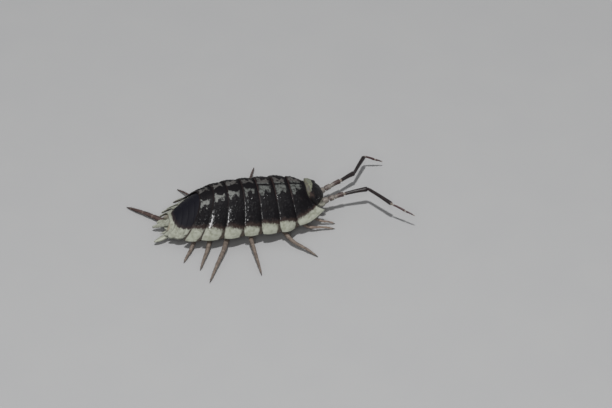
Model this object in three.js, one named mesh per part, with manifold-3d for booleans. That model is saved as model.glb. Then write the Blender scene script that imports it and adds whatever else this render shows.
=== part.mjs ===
import * as THREE from "three";
import { mergeVertices } from "three/addons/utils/BufferGeometryUtils.js";
import Module from "manifold-3d";

const wasm = await Module();
wasm.setup();

// Sizes in millimetres. The head points along +X, the left side is +Y and the floor is the level z = 0.

// Seven trunk rings, front to back. Each line across the back is the edge where one ring meets the next.
const EDGE_MIDDLE = [9.43, 7.11, 4.8, 2.3, 0.08, -2.2, -4.3, -6.35];
const EDGE_MARGIN = [12.0, 7.65, 4.8, 2.0, -0.75, -3.8, -7.15, -9.7];
const EDGE_CURVE = [4.4, 2.4, 2.2, 2.2, 2.2, 2.2, 2.2, 2.6];
const EDGE_HEIGHT = [5.75, 6.2, 6.45, 6.8, 7.05, 7.12, 6.9, 6.25];
const MARGIN_HEIGHT = [2.65, 2.3, 2.3, 2.35, 2.35, 2.3, 2.15, 1.9];
const RING_COUNT = 7;

// Half widths of each ring at its front corner, at its widest and at its rear corner.
const WIDTH_FRONT = [2.9, 5.15, 5.75, 5.6, 5.5, 5.3, 4.9];
const WIDTH_MIDDLE = [4.6, 6.0, 6.05, 5.9, 5.8, 5.45, 4.8];
const WIDTH_REAR = [5.25, 6.0, 5.95, 5.75, 5.6, 5.05, 4.2];

const COLUMN_ARC = 0.9;
const GAP = 0.4;
const LAP_DEPTH = 0.6;
const LAP_SLOPE = 0.9;
const STEP = 0.22;
const WING = 0.5;
const BELLY = 2.3;
const WING_START = 0.66;
const WING_END = 0.8;
const CORNER_FRONT = 0.35;
const CORNER_REAR = 0.15;
const CORNER_START = 0.8;
const DOME_POWER = 2.5;
const DOME_FULL = 1.5;

const HEAD_FRONT = 12.55;
const HEAD_SWEEP = 0.75;
const HEAD_HALF_WIDTH = 2.5;
const HEAD_ROUNDING = 0.55;
const HEAD_BELLY = 1.75;
const HEAD_GAP = 0.32;
const HEAD_TURN = 0.07;
const CROWN_FRONT = 2.9;
const CROWN_RISE = 0.7;
const CHEEK_FRONT = 2.4;
const CHEEK_REAR = 3.2;
const HEAD_DOME_POWER = 2.6;
const HEAD_DOME_FULL = 0.6;
const EYE_SIZE = [0.5, 0.42, 0.4];
const EYE_PLACE = [11.2, 1.68, 3.85];
const EYE_GAP = 0.26;
const LOBE_SIZE = [0.5, 0.42, 0.32];
const LOBE_PLACE = [11.9, 1.92, 2.6];
const MOUTH_SIZE = [0.95, 1.15, 0.42];
const MOUTH_PLACE = [11.1, 0.1, 1.0];

const PLEON_END = -10.95;
const PLEON_HALF_FRONT = 3.75;
const PLEON_HALF_REAR = 1.75;
const PLEON_HEIGHT_REAR = 3.0;
const PLEON_RINGS = 5;
const PLEON_STEP = 0.1;
const PLEON_GAP = 0.5;
const PLEON_EDGE_FRONT = 2.5;
const PLEON_EDGE_REAR = 1.9;
const PLEON_BELLY_REAR = 1.35;
const SPIKE_THICKNESS = 0.6;
const SPIKE_TAPER = 0.86;

const TELSON_TIP = [-13.4, 0.6, 1.0];
const TELSON_HALF_FRONT = 1.0;
const TELSON_HALF_REAR = 0.12;
const TELSON_DEPTH_FRONT = 0.9;
const TELSON_DEPTH_REAR = 0.4;
const TELSON_GAP = 0.5;

const LEG_RADIUS = 0.4;
const TIP_RADIUS = 0.23;
const SLIM = 0.85;
const HIP_HEIGHT = 1.58;
const HIP_SIDE = 2.4;
const KNEE_ALONG = 0.5;
const KNEE_DROP = 0.3;
const SHIN_ALONG = 0.55;
const SHIN_DROP = 0.42;
const ANKLE_HEIGHT = 0.2;
const FOOT_HEIGHT = 0.17;
const UROPOD_RADIUS = 0.42;
const UROPOD_TIP_RADIUS = 0.08;

const BLACK = "#1a181b";
const PALE = "#cfd2bf";
const LEG_BROWN = "#7a6a60";
const REDDISH = "#5c4540";

const model = new THREE.Group();

function blend(a, b, share) {
  return a + (b - a) * share;
}

function smooth(low, high, value) {
  const share = Math.min(1, Math.max(0, (value - low) / (high - low)));
  return share * share * (3 - 2 * share);
}

function solidOf(geometry) {
  const bare = geometry.clone();
  bare.deleteAttribute("normal");
  bare.deleteAttribute("uv");
  const merged = mergeVertices(bare, 1e-4);
  return new wasm.Manifold(
    new wasm.Mesh({
      numProp: 3,
      vertProperties: merged.attributes.position.array,
      triVerts: new Uint32Array(merged.index.array),
    }),
  );
}

function geometryOf(solid) {
  const mesh = solid.getMesh();
  const geometry = new THREE.BufferGeometry();
  geometry.setAttribute("position", new THREE.BufferAttribute(mesh.vertProperties, 3));
  geometry.setIndex(new THREE.BufferAttribute(mesh.triVerts, 1));
  geometry.computeVertexNormals();
  return geometry;
}

// Cutting a socket can leave slivers: only the largest body is kept.
function largest(solid) {
  return solid.decompose().reduce((most, body) => (body.volume() > most.volume() ? body : most));
}

function addPiece(name, geometry, colour, roughness) {
  const material = new THREE.MeshStandardMaterial({ color: colour, roughness, metalness: 0 });
  const mesh = new THREE.Mesh(geometry, material);
  mesh.name = name;
  model.add(mesh);
}

function warped(geometry, place) {
  const points = geometry.attributes.position;
  for (let i = 0; i < points.count; i += 1) {
    const [x, y, z] = place(points.getX(i), points.getY(i), points.getZ(i));
    points.setXYZ(i, x, y, z);
  }
  return geometry;
}

// Height share of the arched back from the midline (0) to the margin (1).
function dome(side) {
  return (1 - Math.abs(side) ** DOME_POWER) ** DOME_FULL;
}

// A block bent to a back plate: front to rear, right to left and belly to back.
function shell(rows, columns, levels, place) {
  return warped(new THREE.BoxGeometry(1, 1, 1, rows, columns, levels), (a, b, c) =>
    place(0.5 - a, Math.sin(Math.PI * b * COLUMN_ARC) / Math.sin((Math.PI * COLUMN_ARC) / 2), c + 0.5),
  );
}

function edgeX(edge, side) {
  return blend(EDGE_MIDDLE[edge], EDGE_MARGIN[edge], Math.abs(side) ** EDGE_CURVE[edge]);
}

function ringWidth(ring, share) {
  const ends = blend(WIDTH_FRONT[ring], WIDTH_REAR[ring], share);
  const bulge = WIDTH_MIDDLE[ring] - (WIDTH_FRONT[ring] + WIDTH_REAR[ring]) / 2;
  return ends + 4 * share * (1 - share) * bulge;
}

// Depth under the back surface of each level of a plate: the lap face ends at the middle level.
function depthAt(level, thickness) {
  const lap = Math.min(LAP_DEPTH, thickness * 0.8);
  return level > 0.5 ? blend(lap, 0, (level - 0.5) * 2) : blend(thickness, lap, level * 2);
}

function ringPoint(ring, share, side, level) {
  const corner = smooth(CORNER_START, 1, Math.abs(side)) ** 2;
  const front = edgeX(ring, side) - GAP / 2 - CORNER_FRONT * corner;
  const rear = edgeX(ring + 1, side) + GAP / 2 + CORNER_REAR * corner;
  const margin = blend(MARGIN_HEIGHT[ring], MARGIN_HEIGHT[ring + 1], share);
  const ridge = blend(EDGE_HEIGHT[ring], EDGE_HEIGHT[ring + 1], share);
  const lift = STEP * (Math.sqrt(share) - 0.6);
  const top = margin + (ridge + lift - margin) * dome(side);
  const wing = smooth(WING_START, WING_END, Math.abs(side));
  const bottom = blend(BELLY, top - WING, wing);
  const depth = depthAt(level, top - bottom);
  const lap = Math.min(depth, LAP_DEPTH) * LAP_SLOPE;
  return [blend(front, rear, share) + lap, side * ringWidth(ring, share), top - depth];
}

for (let ring = 0; ring < RING_COUNT; ring += 1) {
  const plate = shell(6, 22, 2, (share, side, level) => ringPoint(ring, share, side, level));
  addPiece("pereonite_" + (ring + 1), plate, BLACK, 0.35);
}

// Head: a rounded block held between the front lobes of the first ring.
function headPoint(share, side, level) {
  const round = Math.sqrt(1 - (1 - share) ** 2 * HEAD_ROUNDING);
  const y = side * HEAD_HALF_WIDTH * round;
  const rear = edgeX(0, y / WIDTH_FRONT[0]) + HEAD_GAP;
  const front = HEAD_FRONT - HEAD_SWEEP * side * side;
  const crown = blend(CROWN_FRONT, EDGE_HEIGHT[0], Math.sin((share * Math.PI) / 2) ** CROWN_RISE);
  const cheek = blend(CHEEK_FRONT, CHEEK_REAR, share);
  const arch = Math.max(0, 1 - Math.abs(side) ** HEAD_DOME_POWER) ** HEAD_DOME_FULL;
  const top = cheek + (crown - cheek) * arch;
  const depth = depthAt(level, top - HEAD_BELLY);
  const lap = Math.min(depth, LAP_DEPTH) * LAP_SLOPE * share;
  const x = blend(front, rear, share) + lap;
  return [x, y + HEAD_TURN * (x - EDGE_MIDDLE[0]), top - depth];
}

function ball(size, place) {
  const shape = new THREE.SphereGeometry(1, 14, 9);
  shape.scale(...size);
  shape.translate(...place);
  return shape;
}

// The place of a piece on one side of the head, which is turned a little to the left.
function besideHead([x, y, z], side) {
  return [x, side * y + HEAD_TURN * (x - EDGE_MIDDLE[0]), z];
}

let head = solidOf(shell(8, 16, 3, headPoint));
for (const side of [1, -1]) {
  head = head.add(solidOf(ball(LOBE_SIZE, besideHead(LOBE_PLACE, side))));
}
for (const [name, side] of [["left", 1], ["right", -1]]) {
  const place = besideHead(EYE_PLACE, side);
  const socket = ball(EYE_SIZE.map((half) => half + EYE_GAP), place);
  head = head.subtract(solidOf(socket));
  addPiece("eye_" + name, ball(EYE_SIZE, place), "#0c0b0d", 0.25);
}
addPiece("head", geometryOf(largest(head)), BLACK, 0.4);

// Mouthparts: a low rounded lump under the head.
addPiece("mouthparts", ball(MOUTH_SIZE, MOUTH_PLACE), LEG_BROWN, 0.55);

// Tail: five short fused rings, three of them with pointed side plates, then the pointed end plate.
function pleonHalf(share) {
  return blend(PLEON_HALF_FRONT, PLEON_HALF_REAR, share ** 1.3);
}

function pleonPoint(share, side, level) {
  const front = edgeX(RING_COUNT, (side * pleonHalf(0)) / WIDTH_REAR[6]) - GAP / 2 - PLEON_GAP;
  const rear = PLEON_END + 0.55 * side * side;
  const crown = blend(EDGE_HEIGHT[RING_COUNT] - 0.1, PLEON_HEIGHT_REAR, share);
  const ripple = PLEON_STEP * ((share * PLEON_RINGS) % 1);
  const edge = blend(PLEON_EDGE_FRONT, PLEON_EDGE_REAR, share);
  const top = edge + (crown + ripple - edge) * dome(side * 0.93);
  const depth = depthAt(level, top - blend(BELLY, PLEON_BELLY_REAR, share));
  const lap = Math.min(depth, LAP_DEPTH) * LAP_SLOPE * (1 - share);
  return [blend(front, rear, share) + lap, side * pleonHalf(share), top - depth];
}

// A flat pointed side plate from its root to its tip.
function sidePlate(root, tip, rootWidth) {
  const start = new THREE.Vector3(...root);
  const end = new THREE.Vector3(...tip);
  const along = end.clone().sub(start);
  const across = new THREE.Vector3(0, 0, 1).cross(along).normalize();
  return warped(new THREE.BoxGeometry(1, 1, 1, 5, 2, 1), (a, b, c) => {
    const share = a + 0.5;
    const half = rootWidth * (1 - share ** 2 * SPIKE_TAPER);
    const at = start.clone().addScaledVector(along, share).addScaledVector(across, b * 2 * half);
    return [at.x, at.y, at.z + c * SPIKE_THICKNESS * (1 - 0.5 * share)];
  });
}

const PLEON_SPIKES = [
  [[-8.6, 2.75, 2.1], [-10.2, 3.5, 1.55], 0.58],
  [[-9.4, 2.1, 2.0], [-11.15, 3.0, 1.45], 0.6],
  [[-10.0, 1.5, 1.9], [-11.55, 2.3, 1.4], 0.5],
];
let pleon = solidOf(shell(10, 18, 2, pleonPoint));
for (const [root, tip, width] of PLEON_SPIKES) {
  for (const side of [1, -1]) {
    const flip = ([x, y, z]) => [x, side * y, z];
    pleon = pleon.add(solidOf(sidePlate(flip(root), flip(tip), width)));
  }
}
addPiece("pleon", geometryOf(pleon), BLACK, 0.35);

addPiece(
  "telson",
  shell(7, 8, 1, (share, side, level) => {
    const half = blend(TELSON_HALF_FRONT, TELSON_HALF_REAR, share ** 0.7);
    const x = blend(PLEON_END - TELSON_GAP + 0.4 * side * side, TELSON_TIP[0], share);
    const top = blend(PLEON_HEIGHT_REAR - 0.35, TELSON_TIP[2] + 0.2, share ** 0.8) - 0.35 * side * side;
    const depth = blend(TELSON_DEPTH_FRONT, TELSON_DEPTH_REAR, share);
    return [x, side * half + TELSON_TIP[1] * share, top - (1 - level) * depth];
  }),
  PALE,
  0.5,
);

// Limbs: a round bar along a curve, its radius given at each share of the length.
function limb(points, radiusAt, sides, steps) {
  const joints = points.map((point) => new THREE.Vector3(...point));
  const path = new THREE.CatmullRomCurve3(joints, false, "centripetal");
  const upright = new THREE.Vector3(0, 0, 1);
  return warped(new THREE.CylinderGeometry(1, 1, 1, sides, steps), (x, y, z) => {
    const share = 0.5 - y;
    const along = path.getTangentAt(share);
    const across = along.clone().cross(upright).normalize();
    const above = across.clone().cross(along);
    const radius = radiusAt(share);
    const at = path.getPointAt(share);
    at.addScaledVector(above, x * radius).addScaledVector(across, z * radius);
    return [at.x, at.y, at.z];
  });
}

const JOINTS = [0.3, 0.45, 0.58, 0.73, 0.92];

function legRadius(share, scale) {
  const taper = blend(LEG_RADIUS, TIP_RADIUS, share) * scale;
  const nearest = Math.min(...JOINTS.map((joint) => Math.abs(joint - share)));
  const end = share > 0.96 ? 0.75 : 1;
  return taper * (0.88 + 0.14 * smooth(0, 0.05, nearest)) * end;
}

const ABOVE_FLOOR = solidOf(new THREE.BoxGeometry(80, 80, 20).translate(0, 0, 10));

function addLeg(name, points, scale, colour) {
  const bar = limb(points, (share) => legRadius(share, scale), 8, 22);
  addPiece(name, geometryOf(solidOf(bar).intersect(ABOVE_FLOOR)), colour, 0.5);
}

// Each leg: hip position along the body, the point where it passes under the margin, and the foot.
const RIGHT_LEGS = [
  [9.0, [11.4, -3.45, 0.8], [13.45, -3.75]],
  [7.0, [9.3, -4.5, 0.95], [13.2, -4.85]],
  [4.2, [6.3, -7.1, 1.0], [9.4, -10.3]],
  [0.3, [0.3, -6.9, 1.2], [0.5, -12.4]],
  [-2.1, [-4.0, -6.6, 0.88], [-7.25, -12.3]],
  [-4.7, [-6.5, -6.3, 0.72], [-8.1, -9.4]],
  [-6.9, [-8.7, -5.2, 0.52], [-10.15, -7.3]],
];
const LEFT_LEGS = [
  [9.2, [10.1, 3.7, 0.9], [10.9, 5.2]],
  [7.0, [8.6, 4.9, 1.05], [9.8, 6.9]],
  [4.2, [5.8, 5.4, 1.15], [7.4, 7.6]],
  [1.2, [2.5, 6.6, 1.2], [4.24, 11.3]],
  [-2.0, [-2.6, 6.0, 1.2], [-3.1, 8.7]],
  [-4.6, [-6.2, 5.6, 0.85], [-8.15, 8.9]],
];

// The point part of the way between two points, with its own share of the height.
function between(from, to, along, drop) {
  return [blend(from[0], to[0], along), blend(from[1], to[1], along), blend(from[2], to[2], drop)];
}

function legPath(side, hip, pass, foot) {
  const start = [hip, side * HIP_SIDE, HIP_HEIGHT];
  const knee = between(start, pass, KNEE_ALONG, KNEE_DROP);
  const shin = between(pass, [...foot, ANKLE_HEIGHT], SHIN_ALONG, SHIN_DROP);
  return [start, knee, pass, shin, [...foot, FOOT_HEIGHT]];
}

RIGHT_LEGS.forEach(([hip, pass, foot], index) => {
  addLeg("leg_right_" + (index + 1), legPath(-1, hip, pass, foot), index < 2 ? SLIM : 1, LEG_BROWN);
});
LEFT_LEGS.forEach(([hip, pass, foot], index) => {
  addLeg("leg_left_" + (index + 1), legPath(1, hip, pass, foot), SLIM, LEG_BROWN);
});
const TRAILING_LEG = [
  [-7.0, 2.45, 1.35],
  [-9.0, 2.2, 0.62],
  [-11.1, 1.9, 0.5],
  [-14.0, 4.3, 0.55],
  [-16.3, 6.55, FOOT_HEIGHT],
];
addLeg("leg_left_7", TRAILING_LEG, 1.1, REDDISH);

// Tail limbs: two flattened pointed blades beside the end plate.
const UROPODS = { right: [-13.7, -2.55, 0.75], left: [-12.7, 1.5, 0.9] };
for (const [name, tip] of Object.entries(UROPODS)) {
  const side = Math.sign(tip[1]);
  const root = [-11.55, side * 1.35, 0.9];
  const path = [root, between(root, tip, 0.5, 0), tip];
  const swelling = (share) => 0.8 + 0.4 * Math.sin(share * 3);
  const radius = (share) => blend(UROPOD_RADIUS, UROPOD_TIP_RADIUS, share ** 2) * swelling(share);
  addPiece("uropod_" + name, limb(path, radius, 8, 9), PALE, 0.5);
}

// Antennae: base articles, the two long articles and the two part lash.
const ANTENNAE = {
  right: [[12.75, -1.05, 2.2], [15.5, -0.6, 2.9], [19.2, -0.7, 3.3], [22.0, -4.7, 3.1], [24.8, -7.1, 2.4]],
  left: [[12.75, 1.65, 2.2], [15.7, 2.7, 2.6], [18.2, 4.1, 2.5], [20.6, 7.6, 2.4], [23.4, 7.4, 0.95]],
};
const LENGTHS = ["base", "article_4", "article_5", "flagellum"];
const JOINT_INSET = 0.15;
const JOINT_RADIUS = 0.3;
const LENGTH_RADIUS = [[0.46, 0.36], [0.3, 0.36], [0.27, 0.33], [0.25, 0.2]];

// Length left out at each side of a joint, more where the limb bends.
function jointInset(joints, index) {
  if (index === 0 || index === joints.length - 1) return 0;
  const [before, at, after] = [-1, 0, 1].map((step) => new THREE.Vector3(...joints[index + step]));
  const bend = at.clone().sub(before).angleTo(after.sub(at));
  return JOINT_INSET + JOINT_RADIUS * Math.tan(bend / 2);
}

for (const [name, joints] of Object.entries(ANTENNAE)) {
  LENGTHS.forEach((part, index) => {
    const start = new THREE.Vector3(...joints[index]);
    const end = new THREE.Vector3(...joints[index + 1]);
    const along = end.clone().sub(start).normalize();
    const from = start.clone().addScaledVector(along, jointInset(joints, index));
    const to = end.clone().addScaledVector(along, -jointInset(joints, index + 1));
    const middle = from.clone().lerp(to, 0.5);
    middle.z += 0.08;
    const [near, far] = LENGTH_RADIUS[index];
    const points = [from, middle, to].map((point) => point.toArray());
    const bar = limb(points, (share) => blend(near, far, share), 8, 6);
    addPiece("antenna_" + name + "_" + part, bar, index === 0 ? PALE : BLACK, 0.45);
  });
}

// The whole model stands with its box centred over the origin and its feet on the floor.
const box = new THREE.Box3().setFromObject(model);
model.position.set(-(box.min.x + box.max.x) / 2, -(box.min.y + box.max.y) / 2, -box.min.z);

export default model;
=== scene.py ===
import bpy
import math
import numpy as np
from mathutils import Matrix, Vector


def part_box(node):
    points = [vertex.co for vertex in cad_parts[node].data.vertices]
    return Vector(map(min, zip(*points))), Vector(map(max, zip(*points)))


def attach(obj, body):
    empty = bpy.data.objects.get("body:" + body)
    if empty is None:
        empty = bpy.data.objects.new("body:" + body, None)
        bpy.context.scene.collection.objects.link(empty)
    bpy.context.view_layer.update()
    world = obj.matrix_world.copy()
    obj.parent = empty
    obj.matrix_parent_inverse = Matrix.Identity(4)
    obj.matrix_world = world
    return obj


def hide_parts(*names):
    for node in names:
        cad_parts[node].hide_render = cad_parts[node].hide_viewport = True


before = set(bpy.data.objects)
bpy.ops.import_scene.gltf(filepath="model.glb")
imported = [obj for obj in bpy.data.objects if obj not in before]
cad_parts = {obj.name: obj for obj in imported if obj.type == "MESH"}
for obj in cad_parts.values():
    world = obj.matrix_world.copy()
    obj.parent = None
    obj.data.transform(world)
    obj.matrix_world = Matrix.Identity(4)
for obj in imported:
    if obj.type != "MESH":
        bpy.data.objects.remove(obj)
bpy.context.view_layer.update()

MM = 0.001

# Sizes in millimetres in the animal's own frame: head along +X, left side +Y, floor at z = 0.
# Edges of the rings, from the front of the first to the rear of the last: where each one crosses the midline
# and the margin, how late it bends, and how high the back and the margin stand there.
EDGE_MIDDLE = [9.43, 7.11, 4.8, 2.3, 0.08, -2.2, -4.3, -6.35]
EDGE_MARGIN = [12.0, 7.65, 4.8, 2.0, -0.75, -3.8, -7.15, -9.7]
EDGE_CURVE = [4.4, 2.4, 2.2, 2.2, 2.2, 2.2, 2.2, 2.6]
EDGE_HEIGHT = [5.75, 6.2, 6.45, 6.8, 7.05, 7.12, 6.9, 6.25]
MARGIN_HEIGHT = [2.65, 2.3, 2.3, 2.35, 2.35, 2.3, 2.15, 1.9]
# Half width of each ring at its front, middle and rear.
WIDTH_FRONT = [2.9, 5.15, 5.75, 5.6, 5.5, 5.3, 4.9]
WIDTH_MIDDLE = [4.6, 6.0, 6.05, 5.9, 5.8, 5.45, 4.8]
WIDTH_REAR = [5.25, 6.0, 5.95, 5.75, 5.6, 5.05, 4.2]
RING_COUNT = 7
# Cross section of the back: how flat its crown is, and how steeply it falls to the margin.
DOME_POWER = 2.5
DOME_FULL = 1.5
BELLY = 2.3
# Each ring rises to its rear rim, this far above the ridge line, from a front that lies this much lower.
RIM_LIFT = 0.07
FRONT_DROP = 0.24
SIDE_TILT = 0.26
# How far the corners of a side plate are drawn back in front and out behind.
CORNER_FRONT = [0.05, 0.32, 0.32, 0.32, 0.32, 0.32, 0.32]
CORNER_REAR = 0.12

# The tip of the end plate lies this far behind the body's origin.
TELSON_REACH = 13.4
UPRIGHT = np.array([0.0, 0.0, 1.0])

near_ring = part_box("pereonite_4")
tail_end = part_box("telson")
OFFSET = np.array([tail_end[0].x / MM + TELSON_REACH, (near_ring[0].y + near_ring[1].y) / 2 / MM, 0.0])


def blend(a, b, share):
    """From a at share 0 to b at share 1."""
    return a + (b - a) * share


def smooth(low, high, value):
    """A soft step from 0 below low to 1 above high."""
    share = np.clip((value - low) / (high - low), 0, 1)
    return share * share * (3 - 2 * share)


# Shader maths: a number that changes over a surface, joined by plain expressions.
class Level:
    def __init__(self, finish, socket):
        self.finish = finish
        self.socket = socket

    def join(self, operation, other=None, flip=False):
        pair = [self, other] if not flip else [other, self]
        values = {i: value for i, value in enumerate(pair) if value is not None}
        return self.finish.node("ShaderNodeMath", {"operation": operation}, values)

    def __add__(self, other):
        return self.join("ADD", other)

    def __radd__(self, other):
        return self.join("ADD", other)

    def __sub__(self, other):
        return self.join("SUBTRACT", other)

    def __rsub__(self, other):
        return self.join("SUBTRACT", other, True)

    def __mul__(self, other):
        return self.join("MULTIPLY", other)

    def __rmul__(self, other):
        return self.join("MULTIPLY", other)

    def __truediv__(self, other):
        return self.join("DIVIDE", other)

    def __pow__(self, other):
        return self.join("POWER", other)

    def __abs__(self):
        return self.join("ABSOLUTE")

    def least(self, other):
        return self.join("MINIMUM", other)

    def most(self, other):
        return self.join("MAXIMUM", other)

    def between(self, low, high, start=0.0, end=1.0):
        settings = {"interpolation_type": "SMOOTHSTEP"}
        values = {"Value": self, "From Min": low, "From Max": high, "To Min": start, "To Max": end}
        return self.finish.node("ShaderNodeMapRange", settings, values)


# Sockets of the colour mixer.
MIX_SHARE = 0
MIX_UNDER = 6
MIX_OVER = 7
MIX_RESULT = 2


# A procedural surface: a Principled shader with noises, cells and mixed colours in the object's own place.
class Finish:
    def __init__(self, name, roughness=0.5, **shine):
        self.material = bpy.data.materials.new(name)
        self.material.use_nodes = True
        self.tree = self.material.node_tree
        self.shader = self.tree.nodes["Principled BSDF"]
        self.shader.inputs["Roughness"].default_value = roughness
        for socket, value in shine.items():
            self.shader.inputs[socket.replace("_", " ")].default_value = value
        self.place = self.raw("ShaderNodeTexCoord").outputs["Object"]
        self.layout = self.raw("ShaderNodeTexCoord").outputs["UV"]

    def raw(self, kind, settings=None, values=None):
        node = self.tree.nodes.new(kind)
        for setting, value in (settings or {}).items():
            setattr(node, setting, value)
        for socket, value in (values or {}).items():
            self.put(node.inputs[socket], value)
        return node

    def put(self, socket, value):
        if isinstance(value, Level):
            self.tree.links.new(value.socket, socket)
        elif isinstance(value, bpy.types.NodeSocket):
            self.tree.links.new(value, socket)
        else:
            socket.default_value = value

    def node(self, kind, settings=None, values=None, output=0):
        return Level(self, self.raw(kind, settings, values).outputs[output])

    def parts(self, vector):
        split = self.raw("ShaderNodeSeparateXYZ", None, {0: vector})
        return [Level(self, split.outputs[i]) for i in range(3)]

    def noise(self, size_mm, detail=3.0, rough=0.55, stretch=(1, 1, 1), warp=0.0):
        scaled = self.raw("ShaderNodeVectorMath", {"operation": "MULTIPLY"}, {0: self.place, 1: stretch})
        values = {"Vector": scaled.outputs[0], "Scale": 1 / (size_mm * MM)}
        values.update({"Detail": detail, "Roughness": rough, "Distortion": warp})
        return self.node("ShaderNodeTexNoise", None, values)

    def cells(self, size_mm):
        values = {"Vector": self.place, "Scale": 1 / (size_mm * MM)}
        return self.node("ShaderNodeTexVoronoi", {"feature": "F1"}, values)

    def mix(self, under, over, share):
        node = self.raw("ShaderNodeMix", {"data_type": "RGBA"})
        self.put(node.inputs[MIX_SHARE], share)
        self.put(node.inputs[MIX_UNDER], under)
        self.put(node.inputs[MIX_OVER], over)
        return node.outputs[MIX_RESULT]

    def paint(self, colour, roughness=None, relief=None, height_mm=0.02):
        self.put(self.shader.inputs["Base Color"], colour)
        if roughness is not None:
            self.put(self.shader.inputs["Roughness"], roughness)
        if relief is not None:
            values = {"Strength": 1.0, "Distance": height_mm * MM, "Height": relief}
            bump = self.raw("ShaderNodeBump", None, values)
            self.tree.links.new(bump.outputs[0], self.shader.inputs["Normal"])
        return self.material

    # Place on the animal in millimetres from the body's origin.
    def body_place(self):
        x, y, z = self.parts(self.place)
        return x / MM - float(OFFSET[0]), y / MM - float(OFFSET[1]), z / MM


# Colours of the animal, of the floor and of the room's light.
BLACK = (0.0056, 0.0049, 0.0061, 1)
BLUE_BLACK = (0.0062, 0.0062, 0.0105, 1)
RED_BROWN = (0.034, 0.018, 0.016, 1)
FRINGE = (0.062, 0.040, 0.033, 1)
WHITE_PLATE = (0.373, 0.382, 0.325, 1)
WHITE_SHADE = (0.247, 0.252, 0.198, 1)
PATCH = (0.142, 0.150, 0.140, 1)
PATCH_DARK = (0.045, 0.045, 0.043, 1)
PATCH_PALE = (0.25, 0.255, 0.24, 1)
FAR_PATCH = (0.085, 0.078, 0.074, 1)
# Brown of the painted shade in the folds between side plates.
SEAM_SHADE = (0.045, 0.034, 0.027, 1)
# Grey of the painted highlight specks on the rear flanks.
GLINT_SPECK = (0.075, 0.082, 0.076, 1)
YELLOW_BAR = (0.21, 0.22, 0.155, 1)
RIM_SHADE = (0.25, 0.26, 0.21, 1)
BROW_PALE = (0.25, 0.245, 0.205, 1)
UNDER_SHADE = (0.22, 0.19, 0.14, 1)
UNDER_PALE = (0.34, 0.32, 0.25, 1)
# Dark browns of the plate lining: painted shade under the plates.
LINING_SHADE_DARK = (0.04, 0.032, 0.027, 1)
LINING_SHADE_PALE = (0.075, 0.06, 0.05, 1)
EYE_DARK = (0.004, 0.004, 0.005, 1)
EYE_SHEEN = (0.012, 0.01, 0.012, 1)
LEG_TONE = (0.195, 0.155, 0.127, 1)
LEG_DARK = (0.12, 0.094, 0.078, 1)
LEG_PALE = (0.24, 0.195, 0.16, 1)
LEG_TIP = (0.045, 0.036, 0.032, 1)
RED_LEG_DARK = (0.045, 0.027, 0.024, 1)
RED_LEG = (0.088, 0.055, 0.048, 1)
FRONT_LEG_DARK = (0.16, 0.12, 0.10, 1)
FRONT_LEG = (0.27, 0.21, 0.17, 1)
FEELER_BASE_DARK = (0.165, 0.142, 0.126, 1)
FEELER_BASE = (0.235, 0.208, 0.185, 1)
FEELER_BROWN_DARK = (0.045, 0.028, 0.026, 1)
FEELER_BROWN = (0.085, 0.055, 0.05, 1)
FEELER_BLACK = (0.010, 0.008, 0.009, 1)
FEELER_BLACK_PALE = (0.024, 0.017, 0.017, 1)
LASH_DARK = (0.045, 0.020, 0.021, 1)
LASH = (0.075, 0.036, 0.036, 1)
FEELER_JOINT = (0.30, 0.26, 0.22, 1)
FLOOR_SHADE = (0.408, 0.408, 0.41, 1)
FLOOR_PALE = (0.412, 0.412, 0.412, 1)
SKY = (0.95, 0.97, 1.0, 1)

# Layout of the markings, in millimetres or, along a ring, as a share of its length.
MIDLINE_SHIFT = 0.12
MIDLINE_LEAN = 0.22
WHITE_LINE = 5.0
CLOSING_AHEAD = 5.3
CLOSING_BEHIND = 1.0
PATCH_REACH = 1.4
REAR_TOOTH = 0.8
FRONT_TOOTH = 0.32
SPOT_PLACE = 0.42
SIDE_LIP = 2.75
FLANK_END = (4.6, 5.0)
OVAL_MIDDLE = 5.6
OVAL_LONG = 4.92
OVAL_WIDE = 3.15
BAR_FRONT = 10.85
BAR_HALF = 1.9
BROW_HEIGHT = 3.05
HEAD_TURN = 0.07


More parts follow.
